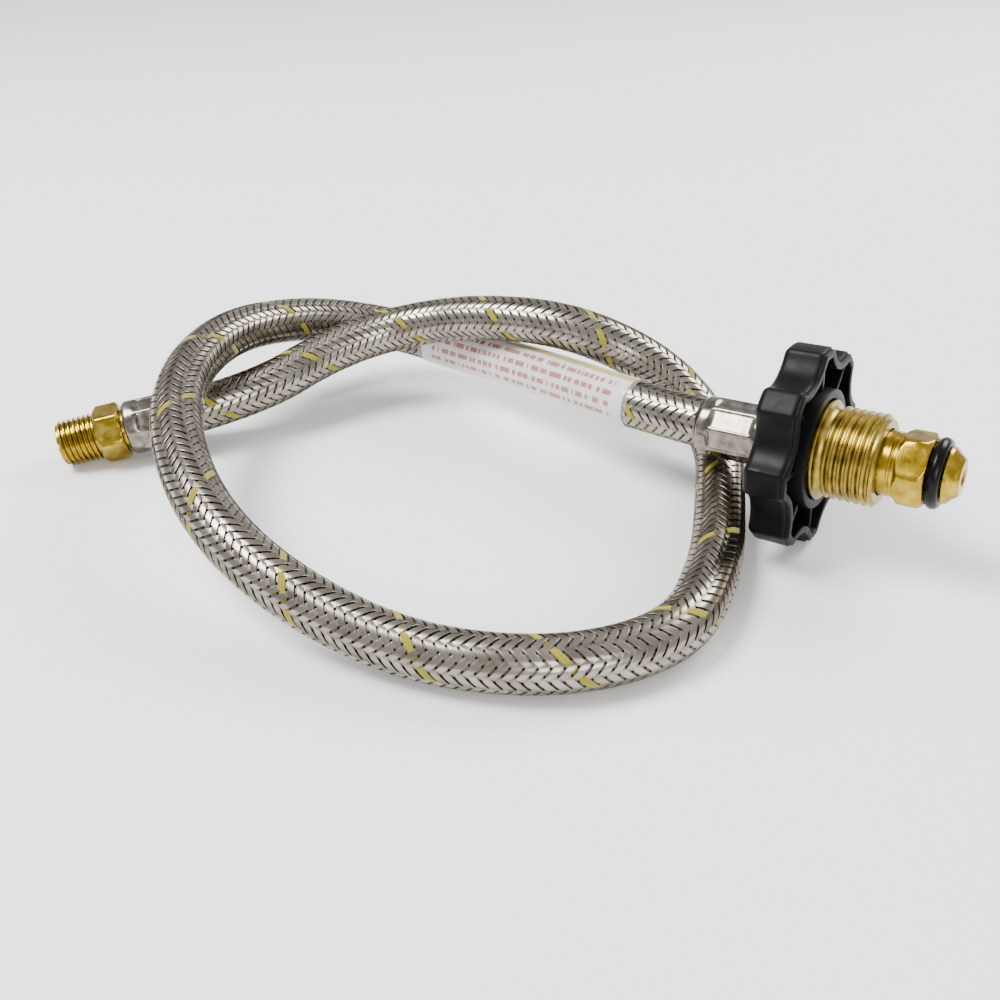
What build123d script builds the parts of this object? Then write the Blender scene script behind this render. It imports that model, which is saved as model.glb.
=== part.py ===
from build123d import *
import math
import os

# Gas hose with a hand-wheel inlet at one end and a taper-threaded nipple at the other.
# Millimetres, +Z up. The part lies on Z = 0: the hand wheel stands on one of its lobes,
# and the nipple and the near side of the hose loop lie on the surface.
# +X points the way the inlet's nose points; the nose is tipped up a little, because the
# stiff hose pulls the other end of the inlet down.

# ---- driving dimensions -------------------------------------------------------------
hose_radius = 6.5            # outside of the wire braid
braid_inner_radius = 5.9     # the rubber hose under the braid
hose_bore_radius = 4.0

inlet_tilt = 6.0             # degrees, nose up
nut_face = Vector(14.68, 0, 27.55)   # centre of the inlet nut's front face

# Stations along the inlet axis, from the nut's front face, + towards the nose.
thread_end = -12.4
collar_back = -14.3
hub_front = -14.3
rim_front = -15.0
wheel_back = -25.3
ferrule_front = -26.9
ferrule_length = 19.6
hose_end = -28.2
hex_back = 3.6
hex_front = 10.4
ring_station = 12.1
nose_tip = 17.2

nut_thread_radius = 11.176   # 0.880 in, 14 threads to the inch, left hand
nut_thread_pitch = 1.814
nut_thread_depth = 1.0
nut_collar_radius = 12.2
nut_drive_flats = 21.0
nut_front_bore = 8.1
nut_rear_bore = 6.45
shoulder_station = -15.6

neck_radius = 7.75
shank_radius = 6.1
spigot_flats = 16.0
gas_bore_radius = 1.9
mouth_radius = 2.7
orifice_radius = 1.25

ring_radius = 6.8            # O-ring, centre of its section
ring_section = 1.6

wheel_radius = 25.0
wheel_lobes = 8
wheel_turn = 18.5            # degrees, from +Y to the first hollow between lobes
valley_radius = 21.4
lobe_half_angle = 7.4
rim_wall = 2.2
web_thickness = 2.5
hub_radius = 14.7
rib_thickness = 1.3

ferrule_radius = 7.6
ferrule_panel_depth = 0.5
ferrule_lip = 1.2
tail_groove_radius = 4.6

# Outlet nipple: its tip, and the way from the tip towards the hose.
outlet_tip = Vector(-184.9, -83.2, 6.35)
outlet_heading = 50.15       # degrees about Z, from +X
outlet_rise = 7.0            # degrees, rising towards the hose
outlet_thread_length = 10.4
outlet_thread_pitch = 1.337
outlet_thread_depth = 0.8
outlet_tip_radius = 6.36     # at the tip; the taper is 1 in 16 on the diameter
outlet_hex_length = 7.0
outlet_flats = 14.3
outlet_gap = 0.7

# The hose's route from the inlet to the outlet, between its two straight ends.
first_corner = 54.0          # along the inlet axis, behind the nut's face
last_corner = 52.0           # along the outlet axis, from the nipple's tip
route_corners = [
    (-90, 8.5, 18),
    (-115.5, 14, 14),
    (-142.5, 10.5, 16.5),
    (-159, -10.5, 24),
    (-163.5, -41.5, 29.5),
    (-145, -76, 28),
    (-105.5, -100, 18.5),
    (-61.5, -98, 6.5),
    (-26, -84.5, 6.5),
    (-6.5, -59.5, 6.5),
    (-10.8, -32, 6.5),
    (-20.8, -8, 6.5),
    (-32, 15.5, 9.5),
    (-53, 23.5, 21.5),
    (-77, 14, 32.5),
    (-104.5, 9.5, 30.5),
    (-127.5, 4, 24.5),
    (-143.5, -15, 20),
]

# Label under its clear sleeve, measured from route corners 1 and 3 along their runs.
label_radius = 6.65
sleeve_radius = 7.0
label_from_corner_1 = 13.2
label_past_corner_3 = 12.8
sleeve_overhang = 1.5

# ---- frames and helpers -------------------------------------------------------------
tilt = math.radians(inlet_tilt)
inlet_direction = Vector(math.cos(tilt), 0, math.sin(tilt))
inlet_axis = Axis(nut_face, inlet_direction)
inlet_section = Plane(origin=nut_face, x_dir=inlet_direction, z_dir=(0, -1, 0))

rise = math.radians(outlet_rise)
heading = math.radians(outlet_heading)
outlet_direction = Vector(
    math.cos(heading) * math.cos(rise), math.sin(heading) * math.cos(rise), math.sin(rise)
)
outlet_side = Vector(math.sin(heading), -math.cos(heading), 0)
outlet_axis = Axis(outlet_tip, outlet_direction)
outlet_section = Plane(origin=outlet_tip, x_dir=outlet_direction, z_dir=outlet_side)


def inlet_cross(station):
    """Plane across the inlet axis; its x runs sideways and its normal towards the nose."""
    return Plane(nut_face + inlet_direction * station, x_dir=(0, 1, 0), z_dir=inlet_direction)


def outlet_cross(station):
    """Plane across the outlet axis; its normal points from the tip towards the hose."""
    return Plane(outlet_tip + outlet_direction * station, x_dir=outlet_side,
                 z_dir=outlet_direction)


def thread_rings(start, end, pitch, depth, crest_radius):
    """Profile points of a thread's ridges from start to end; crest_radius(station) in mm."""
    points = []
    crest_width = 0.25 * pitch
    ridges = int((end - start - crest_width) / pitch) + 1
    for ridge in range(ridges):
        left = start + ridge * pitch
        radius = crest_radius(left + crest_width / 2)
        points.append((left, radius))
        points.append((left + crest_width, radius))
        if ridge < ridges - 1:
            points.append((left + crest_width + 0.3 * pitch, radius - depth))
            points.append((left + crest_width + 0.45 * pitch, radius - depth))
    return points


def barbs(start, end, crest, root, count):
    """Profile points of a hose tail's barbs between two stations."""
    points = []
    pitch = (end - start) / count
    for barb in range(count):
        points.append((start + barb * pitch, root))
        points.append((start + (barb + 0.8) * pitch, crest))
        points.append((start + (barb + 1) * pitch, crest))
    return points


def mirrored(points):
    """The same profile with its stations reversed, end for end."""
    return [(-station, radius) for station, radius in reversed(points)]


# ---- hand wheel ---------------------------------------------------------------------
lobe_pitch = 360 / wheel_lobes
valley_half_angle = math.radians(lobe_pitch / 2 - lobe_half_angle)
valley_chord = wheel_radius * math.sin(valley_half_angle)
valley_rise = wheel_radius * math.cos(valley_half_angle) - valley_radius
scallop_radius = (valley_chord**2 + valley_rise**2) / (2 * valley_rise)

with BuildSketch() as wheel_outline:
    Circle(wheel_radius)
    with PolarLocations(valley_radius + scallop_radius, wheel_lobes, start_angle=wheel_turn):
        Circle(scallop_radius, mode=Mode.SUBTRACT)
    fillet(wheel_outline.vertices(), 1.2)

with BuildSketch() as wheel_inside:
    Circle(wheel_radius - rim_wall)
    with PolarLocations(valley_radius + scallop_radius, wheel_lobes, start_angle=wheel_turn):
        Circle(scallop_radius + rim_wall, mode=Mode.SUBTRACT)

with BuildPart() as hand_wheel:
    with BuildSketch(inlet_cross(wheel_back)):
        add(wheel_outline.sketch)
    extrude(amount=rim_front - wheel_back)
    with BuildSketch(inlet_cross(wheel_back + web_thickness)):
        add(wheel_inside.sketch)
    extrude(amount=rim_front - wheel_back, mode=Mode.SUBTRACT)
    with BuildSketch(inlet_cross(wheel_back)):
        Circle(hub_radius)
    extrude(amount=hub_front - wheel_back)
    rib_reach = wheel_radius - rim_wall / 2
    with BuildSketch(inlet_cross(wheel_back + web_thickness)):
        with PolarLocations(rib_reach / 2 + hub_radius / 2 - 0.5, wheel_lobes,
                            start_angle=wheel_turn + lobe_pitch / 2):
            Rectangle(rib_reach - hub_radius + 1, rib_thickness)
    extrude(amount=rim_front - wheel_back - web_thickness - 1.0)
    with BuildSketch(inlet_cross(wheel_back)):
        RegularPolygon(nut_drive_flats / 2, 6, major_radius=False)
    extrude(amount=hub_front - wheel_back, mode=Mode.SUBTRACT)
hand_wheel.part.label = "hand_wheel"

# ---- inlet nut ----------------------------------------------------------------------
nut_ridges = thread_rings(
    0.6, -thread_end, nut_thread_pitch, nut_thread_depth, lambda station: nut_thread_radius
)
nut_profile = (
    [(collar_back, nut_front_bore), (collar_back, nut_collar_radius),
     (thread_end - 0.4, nut_collar_radius),
     (thread_end, nut_thread_radius - nut_thread_depth)]
    + mirrored(nut_ridges)
    + [(0, nut_thread_radius - 0.7), (0, nut_front_bore)]
)

with BuildPart() as pol_nut:
    with BuildSketch(inlet_section):
        with BuildLine():
            Polyline(*nut_profile, close=True)
        make_face()
    revolve(axis=inlet_axis)
    with BuildSketch(inlet_cross(wheel_back)):
        RegularPolygon(nut_drive_flats / 2, 6, major_radius=False)
        Circle(nut_rear_bore, mode=Mode.SUBTRACT)
    extrude(amount=collar_back - wheel_back)
    with BuildSketch(inlet_cross(shoulder_station - 0.3)):
        Circle(nut_front_bore)
    extrude(amount=3, mode=Mode.SUBTRACT)
pol_nut.part.label = "pol_nut"

# ---- inlet spigot, turned from one hexagonal bar ------------------------------------
with BuildPart() as spigot_hex:
    with BuildSketch(inlet_cross(hex_back)):
        RegularPolygon(spigot_flats / 2, 6, major_radius=False, rotation=20)
    extrude(amount=hex_front - hex_back)
    with BuildSketch(inlet_section):
        with BuildLine():
            Polyline(
                (hex_back, 0), (hex_back, spigot_flats / 2), (hex_back + 1.0, spigot_flats / 2 + 1.3),
                (hex_front - 1.0, spigot_flats / 2 + 1.3), (hex_front, spigot_flats / 2),
                (hex_front, 0), close=True,
            )
        make_face()
    revolve(axis=inlet_axis, mode=Mode.INTERSECT)

tail_end = ferrule_front - ferrule_length + 1.5
ring_groove_half = ring_section + 0.15
spigot_profile = (
    [(tail_end, 0), (tail_end, hose_bore_radius - 0.6)]
    + barbs(tail_end, hose_end, hose_bore_radius, hose_bore_radius - 0.5, 5)
    + [
        (hose_end, tail_groove_radius), (ferrule_front, tail_groove_radius),
        (ferrule_front, shank_radius), (shoulder_station, shank_radius),
        (shoulder_station, neck_radius), (hex_back, neck_radius),
        (hex_front, neck_radius),
        (ring_station - ring_groove_half, neck_radius - 0.4),
        (ring_station - ring_groove_half, ring_radius - ring_section),
        (ring_station + ring_groove_half, ring_radius - ring_section),
        (ring_station + ring_groove_half, 6.8),
        (nose_tip - 0.6, 4.9), (nose_tip, 4.3), (nose_tip, 0),
    ]
)

with BuildPart() as inlet_spigot:
    with BuildSketch(inlet_section):
        with BuildLine():
            Polyline(*spigot_profile, close=True)
        make_face()
    revolve(axis=inlet_axis)
    add(spigot_hex.part)
    with BuildSketch(inlet_cross(tail_end)):
        Circle(gas_bore_radius)
    extrude(amount=hex_back - tail_end, mode=Mode.SUBTRACT)
    with BuildSketch(inlet_cross(hex_back)):
        Circle(orifice_radius)
    extrude(amount=nose_tip - hex_back, mode=Mode.SUBTRACT)
inlet_spigot.part.label = "inlet_spigot"

# ---- nose O-ring --------------------------------------------------------------------
with BuildPart() as nose_o_ring:
    with BuildSketch(inlet_section):
        with Locations((ring_station, ring_radius)):
            Circle(ring_section)
    revolve(axis=inlet_axis)
nose_o_ring.part.label = "nose_o_ring"


# ---- crimped ferrules ---------------------------------------------------------------
# Stations run from the fitting's end of the ferrule, 0, to the hose's end.
ferrule_shell = [
    (0, tail_groove_radius), (0, ferrule_radius - 1.6), (0.5, ferrule_radius - 0.5),
    (1.6, ferrule_radius), (ferrule_length - 1.6, ferrule_radius),
    (ferrule_length - 0.5, ferrule_radius - 0.4), (ferrule_length, hose_radius),
    (ferrule_lip, hose_radius), (ferrule_lip, tail_groove_radius),
]
panel_width = 2 * math.sqrt(ferrule_radius**2 - (ferrule_radius - ferrule_panel_depth) ** 2)
panel_start = 3.2
panel_length = ferrule_length - 2 * panel_start


with BuildSketch() as crimp_jaws:
    with PolarLocations(ferrule_radius - ferrule_panel_depth + 1.5, 8):
        Rectangle(3, panel_width + 0.6)

with BuildPart() as inlet_ferrule:
    with BuildSketch(inlet_section):
        with BuildLine():
            Polyline(*[(ferrule_front - station, radius) for station, radius in ferrule_shell],
                     close=True)
        make_face()
    revolve(axis=inlet_axis)
    with BuildSketch(inlet_cross(ferrule_front - panel_start - panel_length)):
        add(crimp_jaws.sketch)
    extrude(amount=panel_length, mode=Mode.SUBTRACT)
inlet_ferrule.part.label = "inlet_ferrule"

outlet_ferrule_station = outlet_thread_length + outlet_hex_length + outlet_gap
with BuildPart() as outlet_ferrule:
    with BuildSketch(outlet_section):
        with BuildLine():
            Polyline(*[(outlet_ferrule_station + station, radius)
                       for station, radius in ferrule_shell], close=True)
        make_face()
    revolve(axis=outlet_axis)
    with BuildSketch(outlet_cross(outlet_ferrule_station + panel_start)):
        add(crimp_jaws.sketch)
    extrude(amount=panel_length, mode=Mode.SUBTRACT)
outlet_ferrule.part.label = "outlet_ferrule"

# ---- outlet nipple ------------------------------------------------------------------
outlet_ridges = thread_rings(
    0.3, outlet_thread_length - 0.2, outlet_thread_pitch, outlet_thread_depth,
    lambda station: outlet_tip_radius + station / 32,
)
outlet_root_radius = outlet_tip_radius - outlet_thread_depth
outlet_hose_end = outlet_ferrule_station + ferrule_lip + 0.1
outlet_tail_end = outlet_ferrule_station + ferrule_length - 1.5
outlet_profile = (
    [(0.9, gas_bore_radius), (0, mouth_radius), (0, outlet_root_radius)]
    + outlet_ridges
    + [
        (outlet_thread_length, outlet_root_radius + 0.3),
        (outlet_thread_length, outlet_flats / 2),
        (outlet_ferrule_station - outlet_gap, outlet_flats / 2),
        (outlet_ferrule_station - outlet_gap, 5.6), (outlet_ferrule_station, 5.6),
        (outlet_ferrule_station, tail_groove_radius), (outlet_hose_end, tail_groove_radius),
    ]
    + [(outlet_tail_end + outlet_hose_end - station, radius) for station, radius in
       reversed(barbs(outlet_hose_end, outlet_tail_end, hose_bore_radius,
                      hose_bore_radius - 0.5, 5))]
    + [(outlet_tail_end, gas_bore_radius)]
)

with BuildPart() as outlet_hex:
    with BuildSketch(outlet_cross(outlet_thread_length)):
        RegularPolygon(outlet_flats / 2, 6, major_radius=False)
    extrude(amount=outlet_hex_length)
    with BuildSketch(outlet_section):
        with BuildLine():
            Polyline(
                (outlet_thread_length, 0), (outlet_thread_length, outlet_flats / 2),
                (outlet_thread_length + 0.7, outlet_flats / 2 + 1.2),
                (outlet_ferrule_station - outlet_gap - 0.5, outlet_flats / 2 + 1.2),
                (outlet_ferrule_station - outlet_gap, outlet_flats / 2),
                (outlet_ferrule_station - outlet_gap, 0), close=True,
            )
        make_face()
    revolve(axis=outlet_axis, mode=Mode.INTERSECT)

with BuildPart() as outlet_nipple:
    with BuildSketch(outlet_section):
        with BuildLine():
            Polyline(*outlet_profile, close=True)
        make_face()
    revolve(axis=outlet_axis)
    add(outlet_hex.part)
    with BuildSketch(outlet_cross(0)):
        Circle(gas_bore_radius)
    extrude(amount=outlet_tail_end, mode=Mode.SUBTRACT)
outlet_nipple.part.label = "outlet_nipple"

# ---- the hose's route ---------------------------------------------------------------
route = (
    [nut_face + inlet_direction * hose_end, nut_face - inlet_direction * first_corner]
    + [Vector(*corner) for corner in route_corners]
    + [outlet_tip + outlet_direction * last_corner, outlet_tip + outlet_direction * outlet_hose_end]
)


def corner_radii(points):
    """The largest arcs that the runs allow: 0.45 of the shorter run at each corner."""
    radii = []
    for before, corner, after in zip(points, points[1:], points[2:]):
        shorter = min((corner - before).length, (after - corner).length)
        turn = math.radians((corner - before).get_angle(after - corner))
        radii.append(0.45 * shorter / math.tan(turn / 2))
    return radii


radii = corner_radii(route)
runs = [(b - a).length for a, b in zip(route, route[1:])]
print("runs ", [round(run, 1) for run in runs])
print("radii", [round(radius, 1) for radius in radii])


def hose_layer(points, arc_radii, outer, inner):
    """A tube from inner to outer radius along straight runs joined by tangent arcs."""
    with BuildPart() as layer:
        with BuildLine() as path:
            FilletPolyline(*points, radius=arc_radii)
        center = path.wire()
        with BuildSketch(Plane(center @ 0, z_dir=center % 0)):
            Circle(outer)
            Circle(inner, mode=Mode.SUBTRACT)
        sweep(path=center, transition=Transition.RIGHT)
    area = math.pi * (outer**2 - inner**2)
    print("length", round(center.length, 1),
          "volume ratio", round(layer.part.volume / (area * center.length), 4))
    return layer.part


hose_liner = hose_layer(route, radii, braid_inner_radius, hose_bore_radius)
hose_liner.label = "hose_liner"
steel_braid = hose_layer(route, radii, hose_radius, braid_inner_radius)
steel_braid.label = "steel_braid"


# ---- label and sleeve ---------------------------------------------------------------
def label_route(overhang):
    """The route between the label's ends, lengthened by overhang at each."""
    start_run = (route[2] - route[1]).normalized()
    end_run = (route[4] - route[3]).normalized()
    start = route[1] + start_run * (label_from_corner_1 - overhang)
    end = route[3] + end_run * (label_past_corner_3 + overhang)
    return [start, route[2], route[3], end]


print_label = hose_layer(label_route(0), radii[1:3], label_radius, hose_radius)
print_label.label = "print_label"
clear_sleeve = hose_layer(label_route(sleeve_overhang), radii[1:3], sleeve_radius, label_radius)
clear_sleeve.label = "clear_sleeve"

# ---- files --------------------------------------------------------------------------
pieces = {
    "hand_wheel": hand_wheel.part,
    "pol_nut": pol_nut.part,
    "inlet_spigot": inlet_spigot.part,
    "nose_o_ring": nose_o_ring.part,
    "inlet_ferrule": inlet_ferrule.part,
    "hose_liner": hose_liner,
    "steel_braid": steel_braid,
    "print_label": print_label,
    "clear_sleeve": clear_sleeve,
    "outlet_ferrule": outlet_ferrule.part,
    "outlet_nipple": outlet_nipple.part,
}
os.makedirs("parts", exist_ok=True)
for name, piece in pieces.items():
    export_step(piece, f"parts/{name}.step")
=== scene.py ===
import math

import bpy
import numpy as np
from mathutils import Matrix, Vector


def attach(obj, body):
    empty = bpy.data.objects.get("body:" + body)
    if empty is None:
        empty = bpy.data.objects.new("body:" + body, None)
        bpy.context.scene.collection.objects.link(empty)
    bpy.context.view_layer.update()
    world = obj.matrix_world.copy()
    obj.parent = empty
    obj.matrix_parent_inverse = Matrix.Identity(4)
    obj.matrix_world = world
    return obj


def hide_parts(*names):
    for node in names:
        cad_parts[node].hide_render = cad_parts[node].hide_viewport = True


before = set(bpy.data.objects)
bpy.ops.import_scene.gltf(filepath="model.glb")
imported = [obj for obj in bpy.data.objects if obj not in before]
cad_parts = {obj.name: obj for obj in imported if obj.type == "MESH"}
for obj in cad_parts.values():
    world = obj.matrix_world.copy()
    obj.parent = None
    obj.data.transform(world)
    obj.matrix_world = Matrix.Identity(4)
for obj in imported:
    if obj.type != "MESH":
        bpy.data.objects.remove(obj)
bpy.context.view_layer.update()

# sizes are in mm unless a note says otherwise; pieces are shaped in mm about their own
# axis and then put in place in metres
inlet = {
    "face": (14.68, 0.0, 27.55),   # centre of the nut's front face
    "tilt": 6.0,                   # degrees, nose up
}
outlet = {
    "tip": (-184.9, -83.2, 6.35),
    "heading": 50.15,              # degrees about Z, from the tip towards the hose
    "rise": 7.0,
}


def mm(*values):
    return Vector(values) / 1000


def placeOn(origin, along, sideways):
    # local Z runs along the part's axis and local X sideways, mm become metres
    across = along.cross(sideways)
    turned = Matrix((sideways, across, along)).transposed().to_4x4()
    return Matrix.Translation(origin) @ turned @ Matrix.Scale(0.001, 4)


tilt = math.radians(inlet["tilt"])
inletAxis = Vector((math.cos(tilt), 0, math.sin(tilt)))
inletFace = mm(*inlet["face"])
inletPlace = placeOn(inletFace, inletAxis, Vector((0, 1, 0)))

heading, rise = math.radians(outlet["heading"]), math.radians(outlet["rise"])
outletAxis = Vector((math.cos(heading) * math.cos(rise),
                     math.sin(heading) * math.cos(rise), math.sin(rise)))
outletTip = mm(*outlet["tip"])
outletPlace = placeOn(outletTip, outletAxis, Vector((math.sin(heading), -math.cos(heading), 0)))


# camera
camera = {
    "place": (55.8, -217.3, 157.5),
    "forward": (-0.464, 0.691, -0.555),
    "up": (-0.310, 0.461, 0.832),
    "lens": 37.3,
    "shift": (-0.012, -0.018),
}


def makeCamera():
    data = bpy.data.cameras.new("photoCamera")
    data.lens = camera["lens"]
    data.sensor_width = 36
    data.shift_x, data.shift_y = camera["shift"]
    data.clip_start, data.clip_end = 0.01, 20
    holder = bpy.data.objects.new("photoCamera", data)
    bpy.context.scene.collection.objects.link(holder)
    forward = Vector(camera["forward"]).normalized()
    right = forward.cross(Vector(camera["up"])).normalized()
    up = right.cross(forward)
    turned = Matrix((right, up, -forward)).transposed().to_4x4()
    holder.matrix_world = Matrix.Translation(mm(*camera["place"])) @ turned
    bpy.context.scene.camera = holder


makeCamera()
print("camera made")


# materials
def hexColour(code):
    # sRGB hex to the linear values that shaders use
    parts = [int(code[i:i + 2], 16) / 255 for i in (1, 3, 5)]
    linear = [c / 12.92 if c <= 0.04045 else ((c + 0.055) / 1.055) ** 2.4 for c in parts]
    return (*linear, 1.0)


def newMaterial(name, colour, metallic, roughness):
    material = bpy.data.materials.new(name)
    material.use_nodes = True
    shader = material.node_tree.nodes["Principled BSDF"]
    shader.inputs["Base Color"].default_value = hexColour(colour)
    shader.inputs["Metallic"].default_value = metallic
    shader.inputs["Roughness"].default_value = roughness
    return material


def addNode(material, kind, settings=None, inputs=None, links=None, stops=()):
    # one node with its settings, its socket values, what feeds it and a colour ramp's stops
    tree = material.node_tree
    node = tree.nodes.new("ShaderNode" + kind)
    for key, value in (settings or {}).items():
        setattr(node, key, value)
    for key, value in (inputs or {}).items():
        node.inputs[key].default_value = value
    for key, source in (links or {}).items():
        tree.links.new(source, node.inputs[key])
    for count, (place, code) in enumerate(stops):
        band = node.color_ramp.elements
        element = band[count] if count < len(band) else band.new(place)
        element.position = place
        element.color = hexColour(code)
    return node


def feed(material, socket, source):
    shader = material.node_tree.nodes["Principled BSDF"]
    material.node_tree.links.new(source, shader.inputs[socket])


def turnedMetal(name, colours, roughness, grooveHeight, groovePitch):
    # bar turned on a lathe: fine rings round the axis, so highlights spread along it
    material = newMaterial(name, colours[1], 1.0, roughness)
    station = addNode(material, "Attribute", {"attribute_name": "station"})
    rings = addNode(material, "TexNoise", {"noise_dimensions": "1D"},
                    {"Scale": 1 / groovePitch, "Detail": 3.0, "Roughness": 0.6},
                    {"W": station.outputs["Fac"]})
    place = addNode(material, "TexCoord")
    cloud = addNode(material, "TexNoise", None, {"Scale": 1000 / 3.5, "Detail": 4.0},
                    {"Vector": place.outputs["Object"]})
    tone = addNode(material, "ValToRGB", None, None, {"Fac": cloud.outputs["Fac"]},
                   [(0.3, colours[0]), (0.52, colours[1]), (0.75, colours[2])])
    feed(material, "Base Color", tone.outputs["Color"])
    rough = addNode(material, "MapRange", None,
                    {"From Min": 0.3, "From Max": 0.7,
                     "To Min": roughness * 0.75, "To Max": roughness * 1.35},
                    {"Value": cloud.outputs["Fac"]})
    feed(material, "Roughness", rough.outputs["Result"])
    bump = addNode(material, "Bump", None, {"Strength": 0.5, "Distance": grooveHeight / 1000},
                   {"Height": rings.outputs["Fac"]})
    feed(material, "Normal", bump.outputs["Normal"])
    return material


def pressedSteel():
    # zinc-bright steel, drawn and then pressed by eight jaws: mirror-like with faint draw lines
    material = newMaterial("brightZincSteelPressed", "#d9d6d2", 1.0, 0.2)
    place = addNode(material, "TexCoord")
    cloud = addNode(material, "TexNoise", None, {"Scale": 1000 / 2.5, "Detail": 5.0},
                    {"Vector": place.outputs["Object"]})
    tone = addNode(material, "ValToRGB", None, None, {"Fac": cloud.outputs["Fac"]},
                   [(0.3, "#5f5952"), (0.5, "#807970"), (0.72, "#a39c93")])
    feed(material, "Base Color", tone.outputs["Color"])
    rough = addNode(material, "MapRange", None,
                    {"From Min": 0.35, "From Max": 0.7, "To Min": 0.14, "To Max": 0.3},
                    {"Value": cloud.outputs["Fac"]})
    feed(material, "Roughness", rough.outputs["Result"])
    bump = addNode(material, "Bump", None, {"Strength": 0.25, "Distance": 0.00004},
                   {"Height": cloud.outputs["Fac"]})
    feed(material, "Normal", bump.outputs["Normal"])
    return material


def braidWire():
    # hard-drawn stainless wire, 0.3 mm: smooth, with painted shade where the wires sink low and between
    # carriers, and painted highlight on their crests
    material = newMaterial("stainlessWireBraided", "#cfccc8", 1.0, 0.28)
    tone = addNode(material, "Attribute", {"attribute_name": "tone"})
    place = addNode(material, "TexCoord")
    cloud = addNode(material, "TexNoise", None, {"Scale": 1000 / 6, "Detail": 3.0},
                    {"Vector": place.outputs["Object"]})
    # the tone attribute carries painted shade and painted highlight; a little noise is mixed in
    toneWithPaintedShade = addNode(material, "Math", {"operation": "MULTIPLY_ADD"}, {1: 0.35},
                    {0: cloud.outputs["Fac"], 2: tone.outputs["Fac"]})
    colour = addNode(material, "ValToRGB", None, None, {"Fac": toneWithPaintedShade.outputs["Value"]},
                   [(0.0, "#15120e"), (0.4, "#584f45"), (0.8, "#a19a8f")])
    feed(material, "Base Color", colour.outputs["Color"])
    rough = addNode(material, "MapRange", None,
                    {"From Min": 0.0, "From Max": 1.0, "To Min": 0.38, "To Max": 0.22},
                    {"Value": toneWithPaintedShade.outputs["Value"]})
    feed(material, "Roughness", rough.outputs["Result"])
    return material


def tracerYarn():
    # dyed polyester yarn, spun: matt, with the fibres' lines along it
    material = newMaterial("polyesterYarnDyed", "#b8ad1c", 0.0, 0.75)
    across = addNode(material, "Attribute", {"attribute_name": "across"})
    fibres = addNode(material, "TexNoise", {"noise_dimensions": "1D"}, {"Scale": 6.0, "Detail": 4.0},
                     {"W": across.outputs["Fac"]})
    colour = addNode(material, "ValToRGB", None, None, {"Fac": fibres.outputs["Fac"]},
                   [(0.3, "#5a5406"), (0.5, "#908609"), (0.75, "#b3a916")])
    feed(material, "Base Color", colour.outputs["Color"])
    bump = addNode(material, "Bump", None, {"Strength": 0.6, "Distance": 0.0001},
                   {"Height": fibres.outputs["Fac"]})
    feed(material, "Normal", bump.outputs["Normal"])
    material.node_tree.nodes["Principled BSDF"].inputs["Sheen Weight"].default_value = 0.3
    return material


def rubber(name, colour, roughness):
    # nitrile rubber, moulded or extruded: black, smooth, a broad soft highlight
    material = newMaterial(name, colour, 0.0, roughness)
    place = addNode(material, "TexCoord")
    grain = addNode(material, "TexNoise", None, {"Scale": 1000 / 0.8, "Detail": 3.0},
                    {"Vector": place.outputs["Object"]})
    bump = addNode(material, "Bump", None, {"Strength": 0.2, "Distance": 0.00003},
                   {"Height": grain.outputs["Fac"]})
    feed(material, "Normal", bump.outputs["Normal"])
    rough = addNode(material, "MapRange", None, {"To Min": roughness * 0.8, "To Max": roughness * 1.25},
                    {"Value": grain.outputs["Fac"]})
    feed(material, "Roughness", rough.outputs["Result"])
    material.node_tree.nodes["Principled BSDF"].inputs["Specular IOR Level"].default_value = 0.16
    return material


def wheelPlastic():
    # glass-filled nylon, injection moulded: black satin with flow marks and pale handling scuffs
    material = newMaterial("glassFilledNylonMoulded", "#141415", 0.0, 0.38)
    place = addNode(material, "TexCoord")
    grain = addNode(material, "TexNoise", None, {"Scale": 1000 / 0.6, "Detail": 4.0},
                    {"Vector": place.outputs["Object"]})
    flow = addNode(material, "TexNoise", None,
                   {"Scale": 1000 / 14, "Detail": 6.0, "Roughness": 0.7, "Distortion": 0.8},
                   {"Vector": place.outputs["Object"]})
    colour = addNode(material, "ValToRGB", None, None, {"Fac": flow.outputs["Fac"]},
                   [(0.3, "#040405"), (0.55, "#070708"), (0.72, "#121212")])
    feed(material, "Base Color", colour.outputs["Color"])
    rough = addNode(material, "MapRange", None,
                    {"From Min": 0.3, "From Max": 0.75, "To Min": 0.34, "To Max": 0.55},
                    {"Value": flow.outputs["Fac"]})
    feed(material, "Roughness", rough.outputs["Result"])
    bump = addNode(material, "Bump", None, {"Strength": 0.35, "Distance": 0.00004},
                   {"Height": grain.outputs["Fac"]})
    feed(material, "Normal", bump.outputs["Normal"])
    material.node_tree.nodes["Principled BSDF"].inputs["Specular IOR Level"].default_value = 0.14
    return material


nutBrass = turnedMetal("nutBrassTurned", ("#806c2a", "#a18a3c", "#c2ad5e"), 0.3, 0.03, 0.22)
spigotBrass = turnedMetal("spigotBrassTurned", ("#8a6e1c", "#ab8c28", "#cbae44"), 0.22, 0.03, 0.3)
nippleBrass = turnedMetal("nippleBrassPolished", ("#87701f", "#a68d30", "#c9b355"), 0.2, 0.02, 0.3)
ferruleSteel = pressedSteel()
wireSteel = braidWire()
yarnYellow = tracerYarn()
ringRubber = rubber("nitrileRingMoulded", "#040404", 0.25)
hoseRubber = rubber("nitrileHoseExtruded", "#0d0d0d", 0.5)
wheelNylon = wheelPlastic()
print("materials made")


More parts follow.
